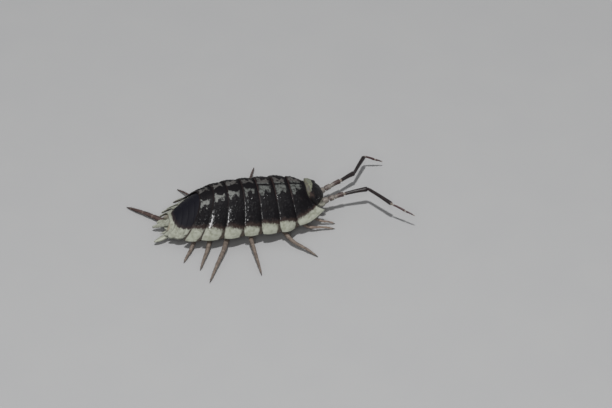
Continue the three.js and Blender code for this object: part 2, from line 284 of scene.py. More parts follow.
def plate_finish():
    finish = Finish("back plate cuticle", 0.45, Specular_IOR_Level=0.14, Coat_Roughness=0.1, Coat_IOR=1.8)
    x, y, z = finish.body_place()
    knob, along = finish.parts(finish.layout)[:2]
    # The pattern's midline, and how far each point lies from it.
    reach = abs(y + MIDLINE_SHIFT + (1.5 - x).between(0, 6.5) * MIDLINE_LEAN)
    drift = finish.noise(0.8, 4.0) - 0.5
    fine = finish.noise(0.16, 3.0) - 0.5
    # White side plates: outside a line that closes in towards the head and the tail.
    ahead = (x - CLOSING_AHEAD).most(0) / 5.6
    behind = (CLOSING_BEHIND - x).most(0) / 11.0
    line = WHITE_LINE - ahead**2.4 * 2.6 - behind * behind * 2.1
    streaks = finish.noise(0.3, 3.0, 0.6, (3.2, 0.7, 0.7)) - 0.5
    white = (abs(y) + drift * 0.35 + streaks * 0.5 + fine * 0.2 - line).between(-0.08, 0.14)
    fringe = (abs(y) + drift * 0.6 + streaks * 0.9 - line).between(-0.5, 0.0)
    # Two rows of grey patches: beside a thin dark line in front, split by dark spots behind.
    front = x.between(1.9, 2.7)
    ragged = finish.noise(0.75, 3.0, 0.55, (1.0, 1.0, 1.0), 0.5) - 0.5
    lobes = finish.noise(0.5, 2.0, 0.5, (1.5, 0.7, 0.7)) - 0.5
    rear_tooth = (abs(along - REAR_TOOTH) * -1).between(-0.26, -0.02)
    front_tooth = (abs(along - FRONT_TOOTH) * -1).between(-0.18, -0.02)
    toothed = x.between(-1.5, 1.5)
    widest = PATCH_REACH - toothed * 0.28 - x.between(7.6, 8.8) * 0.3
    widest = widest + rear_tooth * (toothed * 0.6 + 0.25) + front_tooth * 0.35
    outer = (widest + ragged * 1.5 + lobes * 1.1 - reach).between(-0.08, 0.1)
    inner_front = (reach + ragged * 0.45).between(0.12, 0.26)
    spot_size = x.between(-0.2, 1.6, 1.0, 0.7)
    spot = abs(along - SPOT_PLACE) * 1.55 + reach**1.6 + ragged * 1.5 + lobes * 0.5
    inner_rear = (spot - spot_size).between(-0.08, 0.1)
    inner = front * inner_front + (1 - front) * inner_rear
    holes = finish.noise(0.5, 4.0, 0.65).between(0.37, 0.45)
    front_edge = (along + lobes * 0.3).between(0.16, 0.3)
    rear_edge = 1 - (along + ragged * 0.4).between(0.84, 0.95)
    patch = outer * inner * holes * front_edge * rear_edge
    patch_tone = finish.mix(PATCH_DARK, PATCH, finish.noise(0.34, 4.0, 0.65).between(0.36, 0.62))
    patch_tone = finish.mix(patch_tone, PATCH_PALE, x.between(-2.5, 1.0, 0.6, 0.0))
    patch_tone = finish.mix(patch_tone, FAR_PATCH, y.between(0.1, 0.5) * 0.8)
    white_tone = finish.mix(WHITE_SHADE, WHITE_PLATE, finish.noise(0.6, 4.0).between(0.3, 0.6))
    dark = finish.mix(BLACK, RED_BROWN, finish.noise(1.3, 3.0).between(0.55, 0.85) * 0.25)
    rim = along.between(0.9, 0.98) * (1 - reach.between(1.8, 3.4))
    dark = finish.mix(dark, RED_BROWN, rim * x.between(-1, 3, 0.3, 0.65))
    dark = finish.mix(dark, FRINGE, fringe * 0.7)
    # Painted highlights: fine grey specks on the flanks of the rear rings stand in for glints on the
    # granules.
    glint_speck_zone = abs(y).between(1.7, 2.6) * (1 - x.between(0.5, 2.2))
    glint_specks = finish.cells(0.24).between(0.1, 0.27, 1.0, 0.0) * finish.noise(1.0, 2.0).between(0.42, 0.56)
    dark = finish.mix(dark, GLINT_SPECK, glint_specks * glint_speck_zone * 0.7)
    colour = finish.mix(dark, patch_tone, patch)
    colour = finish.mix(colour, white_tone, white)
    # Each white plate is a little darker low down, towards its shallow rim.
    rim_shade = (z - SIDE_LIP).between(-0.45, 0.0, 1.0, 0.0) * white
    colour = finish.mix(colour, RIM_SHADE, rim_shade * 0.35)
    # Painted shade: a brown shadow line in the folds between one white plate and the next, and along the
    # last plate's rear edge.
    seam_shade = (1 - (along + fine * 0.12).between(0.09, 0.18)) * x.between(7.9, 8.5, 1.0, 0.0)
    last = (x * -1).between(7.6, 8.2) * along.between(0.86, 0.92)
    colour = finish.mix(colour, SEAM_SHADE, seam_shade.most(last) * white * 0.95)
    grain = finish.noise(0.09, 3.0) + finish.cells(0.22) * -0.5
    # Small glossy flakes low on the flanks and on the rear rims catch the light.
    flank_top = x.between(-3, 2, 2.7, 1.8)
    flank = (abs(y) - flank_top).between(0, 0.7) * (1 - abs(y).between(*FLANK_END))
    flakes = finish.noise(0.2, 2.0, 0.5, (1.5, 0.6, 0.6)).between(0.52, 0.6)
    polish = finish.noise(1.1, 2.0).between(0.45, 0.6)
    broken = (finish.noise(0.5, 2.0) + x.between(-3, 2.5, 0.12, 0.0)).between(0.44, 0.52)
    rim_line = along.between(0.74, 0.82) * broken * x.between(-1, 2.5, 1.0, 0.4)
    gloss = flank * (flakes * polish * 0.8).most(rim_line) * (1 - white * 0.85)
    finish.put(finish.shader.inputs["Coat Weight"], gloss.most(knob * flank * 0.35))
    roughness = 0.62 + fine * 0.2 - knob * 0.3
    return finish.paint(colour, roughness, grain, 0.02)


def pleon_finish():
    finish = Finish("rear plate cuticle", 0.45, Specular_IOR_Level=0.17)
    x, y = finish.body_place()[:2]
    drift = finish.noise(0.7, 4.0) - 0.5
    fine = finish.noise(0.15, 3.0) - 0.5
    streaks = finish.noise(0.25, 3.0, 0.6, (3.2, 0.7, 0.7)) - 0.5
    # A black oval inside a white border, which is wider on the far side towards the rear.
    near_far = (y * -0.96).most(y * (x * -1).between(6.6, 9.8, 1.05, 2.3))
    oval = (abs(x + OVAL_MIDDLE) / OVAL_LONG) ** 3.4 + (near_far / OVAL_WIDE) ** 3.2
    white = (oval + drift * 0.25 + streaks * 0.25 + fine * 0.1).between(0.94, 1.08)
    fringe = (oval + streaks * 0.5).between(0.68, 1.0)
    tone = finish.mix(WHITE_SHADE, WHITE_PLATE, finish.noise(0.5, 4.0).between(0.3, 0.6))
    dark = finish.mix(BLUE_BLACK, FRINGE, fringe * 0.4)
    colour = finish.mix(dark, tone, white)
    # Painted shade: thin brown shadow lines between the drawn out side plates.
    along = finish.parts(finish.layout)[1]
    shade_lines = (1 - (along + fine * 0.1).between(0.1, 0.28)) * white * y.between(0.2, 1.2, 0.3, 1.0)
    colour = finish.mix(colour, SEAM_SHADE, shade_lines * 0.75)
    grain = finish.noise(0.08, 3.0)
    return finish.paint(colour, 0.55 + fine * 0.25, grain, 0.01)


def plain_finish(name, low, high, size_mm, roughness, height_mm=0.015, **shine):
    finish = Finish(name, roughness, **shine)
    cloud = finish.noise(size_mm, 4.0).between(0.3, 0.65)
    fine = finish.noise(size_mm * 0.2, 3.0)
    colour = finish.mix(low, high, cloud)
    return finish.paint(colour, fine * 0.3 + (roughness - 0.15), fine + cloud * 0.4, height_mm)


def head_finish():
    finish = Finish("head cuticle", 0.45, Specular_IOR_Level=0.28)
    x, y, z = finish.body_place()
    drift = finish.noise(0.55, 4.0) - 0.5
    # A pale yellow bar across the back of the head, ragged and reddish at its ends.
    middle = y - (x - EDGE_MIDDLE[0]) * HEAD_TURN
    bar_edge = BAR_FRONT - x - middle * middle * 0.12 + middle.least(0) * 0.2
    bar = (bar_edge + drift * 0.7).between(-0.04, 0.1)
    ragged_end = BAR_HALF - abs(middle) + drift * 1.3
    bar = bar * ragged_end.between(-0.05, 0.15)
    tone = finish.mix(PATCH, YELLOW_BAR, finish.noise(0.35, 3.0).between(0.3, 0.6))
    tone = finish.mix(tone, FRINGE, (x - 10.0 + middle * 0.2).between(-0.05, 0.2, 1.0, 0.0) * 0.5)
    brow = (BROW_HEIGHT - z + drift * 0.4).between(-0.1, 0.3)
    dark = finish.mix(BLACK, RED_BROWN, finish.noise(0.7, 3.0).between(0.5, 0.8) * 0.4)
    dark = finish.mix(dark, BROW_PALE, brow)
    tip = ragged_end.between(-0.25, 0.1) * (1 - ragged_end.between(0.15, 0.45)) * (10.9 - x).between(0, 0.4)
    dark = finish.mix(dark, FRINGE, tip * 0.7)
    colour = finish.mix(dark, tone, bar)
    grain = finish.cells(0.28) * -0.8 + finish.noise(0.1, 3.0)
    return finish.paint(colour, 0.42 + finish.noise(0.2, 3.0) * 0.25, grain, 0.03)


def limb_finish(name, low, high, joint, bands):
    finish = Finish(name, 0.5, Specular_IOR_Level=0.35)
    along = finish.parts(finish.layout)[1]
    cloud = finish.noise(0.5, 4.0).between(0.3, 0.65)
    streak = finish.noise(0.18, 3.0, 0.6, (0.5, 0.5, 0.5))
    colour = finish.mix(low, high, cloud)
    pale = None
    for centre, half in bands:
        mark = (abs(along - centre) * -1).between(-half, -half * 0.45)
        pale = mark if pale is None else pale.most(mark)
    colour = finish.mix(colour, joint, pale * 0.7)
    colour = finish.mix(colour, LEG_TIP, along.between(0.9, 1.0))
    return finish.paint(colour, streak * 0.3 + 0.36, streak, 0.015)


# Mesh building in millimetres: points, faces, a pair of layout values per point and a surface per face.
class Piece:
    def __init__(self):
        self.points = []
        self.faces = []
        self.layout = []
        self.kinds = []
        self.count = 0

    def add(self, points, faces, layout, kinds=None):
        faces = np.asarray(faces)
        self.points.append(np.asarray(points, float))
        self.faces.extend((faces + self.count).tolist())
        self.layout.append(np.asarray(layout, float))
        self.kinds.extend([0] * len(faces) if kinds is None else list(kinds))
        self.count += len(points)

    def build(self, name, materials, replaced=()):
        points = np.concatenate(self.points)
        layout = np.concatenate(self.layout)
        mesh = bpy.data.meshes.new(name)
        mesh.from_pydata(((points + OFFSET) * MM).tolist(), [], self.faces)
        for material in materials:
            mesh.materials.append(material)
        mesh.polygons.foreach_set("material_index", np.array(self.kinds, np.int32))
        mesh.polygons.foreach_set("use_smooth", np.ones(len(self.faces), bool))
        corner = np.empty(len(mesh.loops), np.int32)
        mesh.loops.foreach_get("vertex_index", corner)
        grid = mesh.uv_layers.new(name="Layout")
        grid.data.foreach_set("uv", layout[corner].astype(np.float32).ravel())
        mesh.update()
        made = bpy.data.objects.new(name, mesh)
        bpy.context.scene.collection.objects.link(made)
        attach(made, "root")
        if replaced:
            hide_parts(*replaced)
        return made


def grid_faces(rows, columns, start=0, flip=False):
    index = start + np.arange(rows * columns).reshape(rows, columns)
    quads = np.stack([index[:-1, :-1], index[1:, :-1], index[1:, 1:], index[:-1, 1:]], -1).reshape(-1, 4)
    return quads[:, ::-1] if flip else quads


def slab(piece, top, bottom, layout, kind_under=1):
    """A closed plate between two grids of points, with rows from front to rear and columns right to left."""
    rows, columns = top.shape[:2]
    size = rows * columns
    faces = [grid_faces(rows, columns), grid_faces(rows, columns, size, True)]
    kinds = [0] * len(faces[0]) + [kind_under] * len(faces[1])
    index = np.arange(size).reshape(rows, columns)
    loop = np.concatenate([index[0, :], index[1:, -1], index[-1, -2::-1], index[-2:0:-1, 0]])
    after = np.roll(loop, -1)
    wall = np.stack([loop, after, after + size, loop + size], -1)
    faces.append(wall)
    kinds += [0] * len(wall)
    points = np.concatenate([top.reshape(-1, 3), bottom.reshape(-1, 3)])
    pair = layout.reshape(-1, 2)
    piece.add(points, np.concatenate(faces), np.concatenate([pair, pair]), kinds)


def grid_normals(top):
    along = np.gradient(top, axis=0)
    across = np.gradient(top, axis=1)
    normal = np.cross(along, across)
    length = np.linalg.norm(normal, axis=2, keepdims=True)
    normal = normal / np.maximum(length, 1e-9)
    return normal * np.where(normal[..., 2:3] < 0, -1.0, 1.0)


def rod(piece, path, radii, sides=16, ends=(0.0, 1.0), flat=1.0):
    """A closed round bar along a path with its own radius at each point."""
    path = np.asarray(path, float)
    radii = np.asarray(radii, float)
    along = np.gradient(path, axis=0)
    along /= np.linalg.norm(along, axis=1, keepdims=True)
    across = np.cross(along, UPRIGHT)
    across /= np.linalg.norm(across, axis=1, keepdims=True)
    above = np.cross(across, along)
    turn = np.linspace(0, 2 * math.pi, sides, endpoint=False)
    circle = np.cos(turn)[None, :, None] * across[:, None, :]
    circle = circle + np.sin(turn)[None, :, None] * above[:, None, :] * flat
    points = (path[:, None, :] + circle * radii[:, None, None]).reshape(-1, 3)
    rows = len(path)
    index = np.arange(rows * sides).reshape(rows, sides)
    after = np.roll(index, -1, axis=1)
    quads = np.stack([index[:-1], after[:-1], after[1:], index[1:]], -1).reshape(-1, 4)
    share = np.repeat(np.linspace(ends[0], ends[1], rows), sides)
    layout = np.stack([np.tile(turn / (2 * math.pi), rows), share], -1)
    first, last = rows * sides, rows * sides + 1
    points = np.concatenate([points, path[:1], path[-1:]])
    layout = np.concatenate([layout, [[0.5, ends[0]], [0.5, ends[1]]]])
    caps = [[first, index[0][(i + 1) % sides], index[0][i]] for i in range(sides)]
    caps += [[last, index[-1][i], index[-1][(i + 1) % sides]] for i in range(sides)]
    base = piece.count
    piece.add(points, quads, layout)
    piece.faces.extend([[int(base + corner) for corner in cap] for cap in caps])
    piece.kinds.extend([0] * len(caps))


def ball(piece, centre, half):
    """A rounded lump with its own half width along each direction."""
    steps = 14
    path = np.tile(np.array(centre, float), (steps, 1))
    path[:, 0] += half[0] * np.cos(np.linspace(math.pi, 0, steps))
    path[:, 1] += np.linspace(0, 1e-5, steps)
    radii = half[1] * np.sin(np.linspace(0.08, math.pi - 0.08, steps))
    rod(piece, path, radii, 20, flat=half[2] / half[1])


def along_path(points, count):
    """Points spread evenly on a smooth curve through the given ones."""
    points = np.asarray(points, float)
    padded = np.concatenate([2 * points[:1] - points[1:2], points, 2 * points[-1:] - points[-2:-1]])
    fine = []
    for i in range(len(points) - 1):
        a, b, c, d = padded[i : i + 4]
        for t in np.linspace(0, 1, 40, endpoint=False):
            step = 2 * b + (c - a) * t + (2 * a - 5 * b + 4 * c - d) * t**2 + (3 * b - a - 3 * c + d) * t**3
            fine.append(step / 2)
    fine.append(points[-1])
    fine = np.array(fine)
    length = np.concatenate([[0], np.cumsum(np.linalg.norm(np.diff(fine, axis=0), axis=1))])
    wanted = np.linspace(0, length[-1], count)
    return np.stack([np.interp(wanted, length, fine[:, i]) for i in range(3)], -1)


def dome(side):
    """Height of the back across a ring: 1 at the midline, 0 at both margins."""
    return np.clip(1 - np.abs(side) ** DOME_POWER, 0, 1) ** DOME_FULL


def edge_x(edge, side):
    """Place along the body of an edge between two rings."""
    return blend(EDGE_MIDDLE[edge], EDGE_MARGIN[edge], np.abs(side) ** EDGE_CURVE[edge])


def ring_width(ring, share):
    """Half width of a ring, from its front at 0 to its rear at 1."""
    share = np.clip(share, 0, 1)
    bulge = WIDTH_MIDDLE[ring] - (WIDTH_FRONT[ring] + WIDTH_REAR[ring]) / 2
    swell = share**1.15
    return blend(WIDTH_FRONT[ring], WIDTH_REAR[ring], share) + 4 * swell * (1 - swell) * bulge


def ring_top(ring, share, side):
    """Upper surface of a ring, from its front to its rear and from its right margin to its left one."""
    corner = smooth(0.9, 1, np.abs(side)) ** 2
    front = edge_x(ring, side) - CORNER_FRONT[ring] * corner
    rear = edge_x(ring + 1, side) + CORNER_REAR * corner
    margin = blend(MARGIN_HEIGHT[ring], MARGIN_HEIGHT[ring + 1], share)
    ridge = blend(EDGE_HEIGHT[ring], EDGE_HEIGHT[ring + 1], share)
    lift = RIM_LIFT - FRONT_DROP * (1 - np.clip(share + 0.1, 0, 1)) ** 2
    tilt = SIDE_TILT * (np.clip(share, -0.2, 1.1) - 0.55) * smooth(0.6, 0.85, np.abs(side))
    top = margin + tilt + (ridge + lift - margin) * dome(side)
    return np.stack([blend(front, rear, share), side * ring_width(ring, share), top], -1)


# Rows of granules on a ring: place along it, distance between them, their size and their height.
GRANULE_ROWS = [
    (0.24, 0.62, 0.17, 0.05),
    (0.45, 0.5, 0.17, 0.06),
    (0.68, 0.5, 0.16, 0.055),
    (0.92, 0.3, 0.1, 0.03),
]


def granules(ring, top, share, side, rng):
    """Low shiny bumps in cross rows, with a row of small ones on the rear rim."""
    length = EDGE_MIDDLE[ring] - EDGE_MIDDLE[ring + 1]
    middle = top[len(top) // 2]
    arc = np.concatenate([[0], np.cumsum(np.linalg.norm(np.diff(middle, axis=0), axis=1))])
    arc -= arc[-1] / 2
    place_along = share * length
    place_across = np.broadcast_to(arc[None, :], share.shape)
    limit = np.interp(0.86, side[0], arc)
    height = np.zeros_like(share)
    for row, gap, size, tall in GRANULE_ROWS:
        for centre in np.arange(-limit, limit, gap):
            across = centre + rng.normal(0, gap * 0.22)
            along = (row + rng.normal(0, 0.045)) * length
            bump = size * rng.uniform(0.75, 1.2)
            far = ((place_along - along) ** 2 + (place_across - across) ** 2) / bump**2
            fade = 0.35 + 0.65 * smooth(0.0, 0.35, abs(across) / limit)
            height += tall * fade * rng.uniform(0.5, 1.2) * np.exp(-far * 1.6)
    return height


def across_back(columns):
    """Places from the right margin to the left one, closer together near the margins."""
    return np.sin(np.linspace(-0.5, 0.5, columns) * math.pi * 0.9) / math.sin(0.45 * math.pi)


def grid_places(rows, columns, low=-1.0, front=0.0):
    """Two grids: how far each point lies across, from low to 1, and how far back, from front to 1."""
    across = np.broadcast_to(np.linspace(low, 1, columns), (rows, columns))
    back = np.broadcast_to(np.linspace(front, 1, rows)[:, None], (rows, columns))
    return across, back


PLATE_ROWS = 56
PLATE_COLUMNS = 220
PLATE_OVERLAP = 0.2
SIDE_OVERLAP_LOSS = 0.08
FIRST_OVERLAP = 0.4
PLATE_THICK = 0.16
SIDE_PLATE_THICK = 0.34
REAR_ROUNDING = 0.05
MARGIN_ROUNDING = 0.12
GRANULE_FULL = 0.06
rng = np.random.default_rng(11)

cuticle = plate_finish()
rear_cuticle = pleon_finish()
under_finish = plain_finish("underside cuticle", UNDER_SHADE, UNDER_PALE, 0.6, 0.5)
# The plates' undersides and the top of the belly core are painted dark brown as painted shade under the
# plates.
shaded_lining_finish = plain_finish("plate lining with painted shade", LINING_SHADE_DARK, LINING_SHADE_PALE, 0.6, 0.6)
head_cuticle = head_finish()
pale_finish = plain_finish("pale tail cuticle", WHITE_SHADE, WHITE_PLATE, 0.4, 0.45)

for ring in range(RING_COUNT):
    side_line = across_back(PLATE_COLUMNS)
    row_line = np.linspace(0, 1, PLATE_ROWS)
    overlap = PLATE_OVERLAP - SIDE_OVERLAP_LOSS * smooth(0.72, 0.93, np.abs(side_line))
    if ring == 0:
        overlap = overlap * FIRST_OVERLAP
    side = np.broadcast_to(side_line, (PLATE_ROWS, PLATE_COLUMNS))
    share = row_line[:, None] * (1 + overlap[None, :]) - overlap[None, :]
    top = ring_top(ring, share, side)
    normal = grid_normals(top)
    knobs = granules(ring, top, share, side, rng)
    top = top + normal * knobs[..., None]
    rear_round = smooth(0.9, 1.0, share) ** 2 * REAR_ROUNDING
    rim = smooth(0.955, 1.0, np.abs(side)) ** 2
    thick = blend(PLATE_THICK, SIDE_PLATE_THICK, smooth(0.7, 0.9, np.abs(side))) * blend(1, 0.45, rim)
    thick = thick * blend(1, 0.6, smooth(0.85, 1.0, share))
    top[..., 2] -= rear_round + rim * MARGIN_ROUNDING
    bottom = top - normal * thick[..., None] * 0.35 - UPRIGHT * thick[..., None] * 0.75
    plate = Piece()
    slab(plate, top, bottom, np.stack([np.clip(knobs / GRANULE_FULL, 0, 1), np.clip(share, 0, 1)], -1))
    plate.build(f"plate_{ring + 1}", [cuticle, shaded_lining_finish], [f"pereonite_{ring + 1}"])

# Body core under the plates, with a low arch for each ring of the belly.
CORE_GAP = 0.12
core_rows = 150
core_columns = 60
core_line = np.linspace(0.02, RING_COUNT - 0.02, core_rows)
core_side = np.linspace(-0.8, 0.8, core_columns)
core_top = np.zeros((core_rows, core_columns, 3))
core_bottom = np.zeros((core_rows, core_columns, 3))
for row, value in enumerate(core_line):
    ring = min(int(value), RING_COUNT - 1)
    share = value - ring
    top = ring_top(ring, np.full(core_columns, share), core_side)
    core_top[row] = top - UPRIGHT * blend(0.5, 0.42, np.abs(core_side)[:, None])
    arch = 0.14 * math.sin(math.pi * share) ** 0.5
    core_bottom[row] = top
    core_bottom[row, :, 2] = BELLY + CORE_GAP - arch * (1 - np.abs(core_side) ** 4)
    core_top[row, :, 2] = np.maximum(core_top[row, :, 2], core_bottom[row, :, 2] + CORE_GAP)
core = Piece()
core_across = core_side[None, :] * 0.5 + 0.5
core_along = (core_line / RING_COUNT)[:, None]
core_layout = np.stack(np.broadcast_arrays(core_across, core_along), -1)
slab(core, core_top, core_bottom, core_layout, 1)
core.build("belly", [shaded_lining_finish, under_finish])

# Tail: five short rings, the last three drawn out into pointed side plates.
PLEON_RIDGE_FRONT = 6.12
PLEON_RIDGE_REAR = 2.95
PLEON_MARGIN_FRONT = 2.4
PLEON_MARGIN_REAR = 1.75
PLEON_EDGES = [-6.2, -7.15, -8.1, -9.05, -9.95, -10.95]
PLEON_HALF = [3.6, 3.5, 3.3, 2.95, 2.4]
PLEON_TIPS = [None, None, (-10.2, 3.5, 1.6), (-11.1, 3.0, 1.5), (-11.55, 2.3, 1.4)]


def pleon_ridge(x):
    """Height of the tail's midline, falling evenly to the rear."""
    share = np.clip((EDGE_MIDDLE[-1] - x) / (EDGE_MIDDLE[-1] - PLEON_EDGES[-1]), 0, 1)
    return blend(PLEON_RIDGE_FRONT, PLEON_RIDGE_REAR, share)


def tail_profile(side):
    """Height across a tail ring: 1 at the midline, 0 at both margins."""
    return np.clip(1 - np.abs(side) ** 2.2, 0, 1) ** 1.15


PLEON_ROWS = 26
PLEON_COLUMNS = 140
for number, half in enumerate(PLEON_HALF):
    side = np.broadcast_to(across_back(PLEON_COLUMNS), (PLEON_ROWS, PLEON_COLUMNS))
    row_line = grid_places(PLEON_ROWS, PLEON_COLUMNS, front=-0.25)[1]
    reach = np.abs(side)
    sweep = reach**2.4 * (half / 3.5)
    front_x = PLEON_EDGES[number] - 1.3 * sweep
    rear_x = PLEON_EDGES[number + 1] - 1.25 * sweep * (0.4 if number == 4 else 1)
    x = blend(front_x, rear_x, row_line)
    y = side * half
    ridge = pleon_ridge(blend(PLEON_EDGES[number], PLEON_EDGES[number + 1], row_line))
    lift = 0.05 - 0.1 * (1 - np.clip(row_line, 0, 1)) ** 2
    edge = blend(PLEON_MARGIN_FRONT, PLEON_MARGIN_REAR, (number + row_line) / len(PLEON_HALF))
    z = edge + (ridge + lift - edge) * tail_profile(side)
    if PLEON_TIPS[number]:
        tip = PLEON_TIPS[number]
        pull = smooth(0.72, 1.0, reach)
        x = blend(x, tip[0] + 1.7 * (0.4 - row_line) * (1 - pull**5), pull)
        y = blend(y, np.sign(side) * (tip[1] + 0.5 * (0.4 - row_line) * (1 - pull**5)), pull)
        z = blend(z, tip[2], pull)
    top = np.stack([x, y, z], -1)
    thick = 0.16 + 0.12 * smooth(0.75, 0.95, reach)
    top[..., 2] -= 0.04 * smooth(0.9, 1.0, row_line)
    bottom = top - UPRIGHT * thick[..., None]
    ring_piece = Piece()
    slab(ring_piece, top, bottom, np.stack([side * 0.5 + 0.5, np.clip(row_line, 0, 1)], -1))
    replaced = ["pleon"] if number == 0 else ()
    ring_piece.build(f"tail_ring_{number + 1}", [rear_cuticle, under_finish], replaced)

# Soft body under the tail rings.
tail_core = Piece()
side, row_line = grid_places(40, 40)
side = side * 0.86
core_middle = blend(-6.1, -10.85, row_line)
core_x = core_middle - 1.1 * np.abs(side) ** 2.4
core_half = blend(3.5, 1.7, row_line**1.3)
core_edge = blend(PLEON_MARGIN_FRONT, PLEON_MARGIN_REAR, row_line)
core_z = core_edge + (pleon_ridge(core_middle) - core_edge) * tail_profile(side) - 0.3
top = np.stack([core_x, side * core_half, core_z], -1)
bottom = top.copy()
bottom[..., 2] = blend(2.1, 1.35, row_line) - 0.25 * (1 - side**2)
top[..., 2] = np.maximum(top[..., 2], bottom[..., 2] + 0.1)
slab(tail_core, top, bottom, np.stack([side * 0.5 + 0.5, row_line], -1), 0)
tail_core.build("tail_core", [under_finish])

# Breathing plates: overlapping pairs of leaves under the tail.
gills = Piece()
for number in range(5):
    for hand in (1, -1):
        out, back = grid_places(16, 12, 0.02)
        round_off = np.sqrt(np.clip(1 - (back * 0.98) ** 4, 0, 1))
        x = -6.9 - number * 0.82 - back * 1.35 - 0.25 * out
        y = hand * out * (2.0 - 0.22 * number) * round_off
        z = 1.78 - 0.1 * number - 0.22 * back + 0.1 * out
        top = np.stack([x, y, z], -1)
        if hand < 0:
            top = top[:, ::-1]
        slab(gills, top, top - UPRIGHT * 0.1, np.stack([out, back], -1), 0)
gills.build("breathing_plates", [pale_finish])

# Pointed end plate.
telson = Piece()
side, back = grid_places(40, 41)
half = 0.98 * (1 - back) ** 0.8 * (1 - 0.3 * np.sin(back * math.pi)) + 0.06
x = blend(-10.75 + 0.35 * side**2, -13.38, back)
y = side * half + 0.6 * back
z = blend(2.6, 1.0, back**0.8) - 0.4 * side**2 * (1 - back * 0.6) + 0.05 * np.cos(side * 3)
top = np.stack([x, y, z], -1)
bottom = top - UPRIGHT * (0.16 + 0.22 * (1 - side[..., None] ** 2)) * blend(1, 0.6, back[..., None])
slab(telson, top, bottom, np.stack([side * 0.5 + 0.5, back], -1), 0)
telson.build("end_plate", [pale_finish], ["telson"])

# Tail blades: a long outer blade, a thin inner one and a short foot.
UROPOD_TIPS = {"right": (-13.7, -2.55, 0.72), "left": (-12.6, 1.6, 0.7)}
for name, tip in UROPOD_TIPS.items():
    hand = math.copysign(1, tip[1])
    lift = -0.12 if hand > 0 else 0.0
    blade = Piece()
    root = (-11.5, 1.35 if hand > 0 else -1.7, 0.95 + lift)
    middle = blend(np.array(root), np.array(tip), 0.5) + [0, hand * 0.08, 0]
    outer = along_path([root, middle, tip], 26)
    share = np.linspace(0, 1, 26)
    taper = np.sqrt(np.clip(1 - share**1.7, 0, 1))
    rod(blade, outer, taper * (0.42 + 0.06 * np.sin(share * 3)) + 0.02, 20, flat=0.6)
    inner = along_path([(-11.5, hand * 0.95, 0.95 + lift), (-12.5, hand * 1.2, 0.9 + lift)], 14)
    share = np.linspace(0, 1, 14)
    rod(blade, inner, 0.2 * (1 - share**2) + 0.02, 12)
    foot = along_path([(-10.9, hand * 1.2, 1.2 + lift * 0.6), (-11.6, hand * 1.35, 0.98 + lift)], 8)
    rod(blade, foot, np.full(8, 0.34), 14)
    blade.build("tail_blade_" + name, [pale_finish], ["uropod_" + name])

# Head: a rounded capsule with two side lobes and a low front lobe, turned a little to the left.
HEAD_FRONT = 12.5
HEAD_HALF = 2.5
HEAD_FLOOR = 1.8
LOBE_PLACE = (11.9, 1.92, 2.6)
LOBE_HALF = (0.52, 0.44, 0.34)
HEAD_BUMPS = 90
head = Piece()
rows, columns = 80, 120
side = np.broadcast_to(np.sin(np.linspace(-0.5, 0.5, columns) * math.pi), (rows, columns))
back = np.broadcast_to(np.linspace(0, 1, rows)[:, None], (rows, columns))
round_front = np.sqrt(1 - (1 - back) ** 2 * 0.55)
y = side * HEAD_HALF * round_front
rear = edge_x(0, np.clip(y / WIDTH_FRONT[0], -1, 1)) + 0.28
front = HEAD_FRONT - 0.75 * side**2
crown = blend(2.9, EDGE_HEIGHT[0] - 0.05, np.sin(back * math.pi / 2) ** 0.7)
cheek = blend(2.4, 3.2, back)
z = cheek + (crown - cheek) * (1 - np.abs(side) ** 2.6 * 0.999) ** 0.6
x = blend(front, rear, back)
top = np.stack([x, y + HEAD_TURN * (x - EDGE_MIDDLE[0]), z], -1)
normal = grid_normals(top)
bottom = top.copy()
bottom[..., 2] = HEAD_FLOOR
top[..., 2] = np.maximum(top[..., 2], 2.0)
head_bumps = np.zeros((rows, columns))
for centre in rng.uniform([9.9, -2.2], [12.3, 2.2], (HEAD_BUMPS, 2)):
    far = ((top[..., 0] - centre[0]) ** 2 + (top[..., 1] - centre[1]) ** 2) / 0.14**2
    head_bumps += 0.045 * rng.uniform(0.4, 1.2) * np.exp(-far)
top = top + normal * head_bumps[..., None]
slab(head, top, bottom, np.stack([side * 0.5 + 0.5, back], -1), 1)
for hand in (1, -1):
    lobe_turn = HEAD_TURN * (LOBE_PLACE[0] - EDGE_MIDDLE[0])
    ball(head, (LOBE_PLACE[0], hand * LOBE_PLACE[1] + lobe_turn, LOBE_PLACE[2]), LOBE_HALF)
head.build("head_capsule", [head_cuticle, under_finish], ["head"])

eye_finish = plain_finish("eye lens", EYE_DARK, EYE_SHEEN, 0.2, 0.2, 0.004)
# Rows of lenses around the top of each eye: how far the row is tilted away, and how many stand in it.
LENS_ROWS = [(0.0, 1), (0.42, 6), (0.84, 11), (1.2, 13)]
LENS_RADIUS = 0.105
EYE_HALF = np.array([0.42, 0.42, 0.32])
for name in ("left", "right"):
    low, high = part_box("eye_" + name)
    centre = (np.array(low) + np.array(high)) / 2 / MM - OFFSET
    hand = 1 if name == "left" else -1
    eye = Piece()
    mirror = np.array([1, hand, 1])
    for ring_number, (tilt, count) in enumerate(LENS_ROWS):
        for i in range(count):
            turn = 2 * math.pi * (i + 0.5 * (ring_number % 2)) / count
            around = math.sin(tilt)
            outward = np.array([around * math.cos(turn), math.cos(tilt), around * math.sin(turn)]) * mirror
            place = centre + outward * EYE_HALF
            up_line = along_path([place - outward * 0.12, place + outward * 0.1], 7)
            up_line[:, 0] += np.linspace(0, 1e-4, 7)
            share = np.linspace(0, 1, 7)
            rod(eye, up_line, LENS_RADIUS * np.sqrt(1 - share**2.5 * 0.97), 8)
    eye.build("eye_lenses_" + name, [eye_finish], ["eye_" + name])

